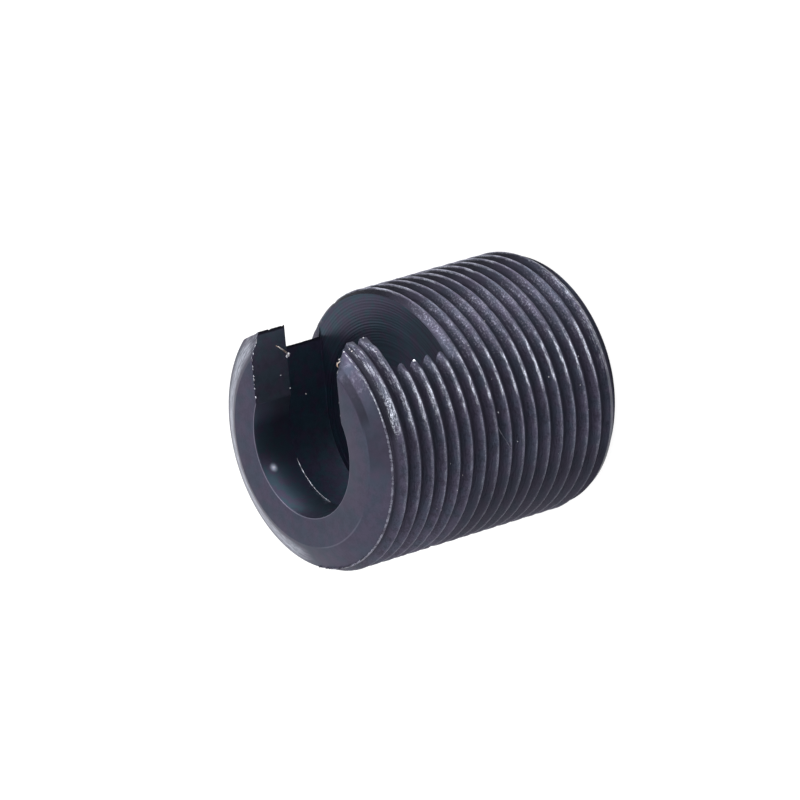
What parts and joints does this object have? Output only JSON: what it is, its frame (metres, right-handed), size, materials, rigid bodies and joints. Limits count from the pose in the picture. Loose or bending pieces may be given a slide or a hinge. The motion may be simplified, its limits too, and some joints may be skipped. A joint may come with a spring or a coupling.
{
  "type": "adjusting screw",
  "caption": "Fine-threaded steel adjusting screw with a T-slot in one end that hooks over the flanged head of a rod, and a flat plain end.",
  "frame": {"origin": "centre of the plain end, on the screw's axis", "axes": "+Z along the screw from the plain end to the slotted end; +X is the side on which the T-slot opens through the thread"},
  "size_m": [0.0158, 0.0158, 0.018],
  "materials": {
    "blackened_steel": "black oxide, fine machining marks, bright along the crests"
  },
  "bodies": {
    "root": {"adjusting_screw": "blackened_steel"}
  },
  "joints": []
}
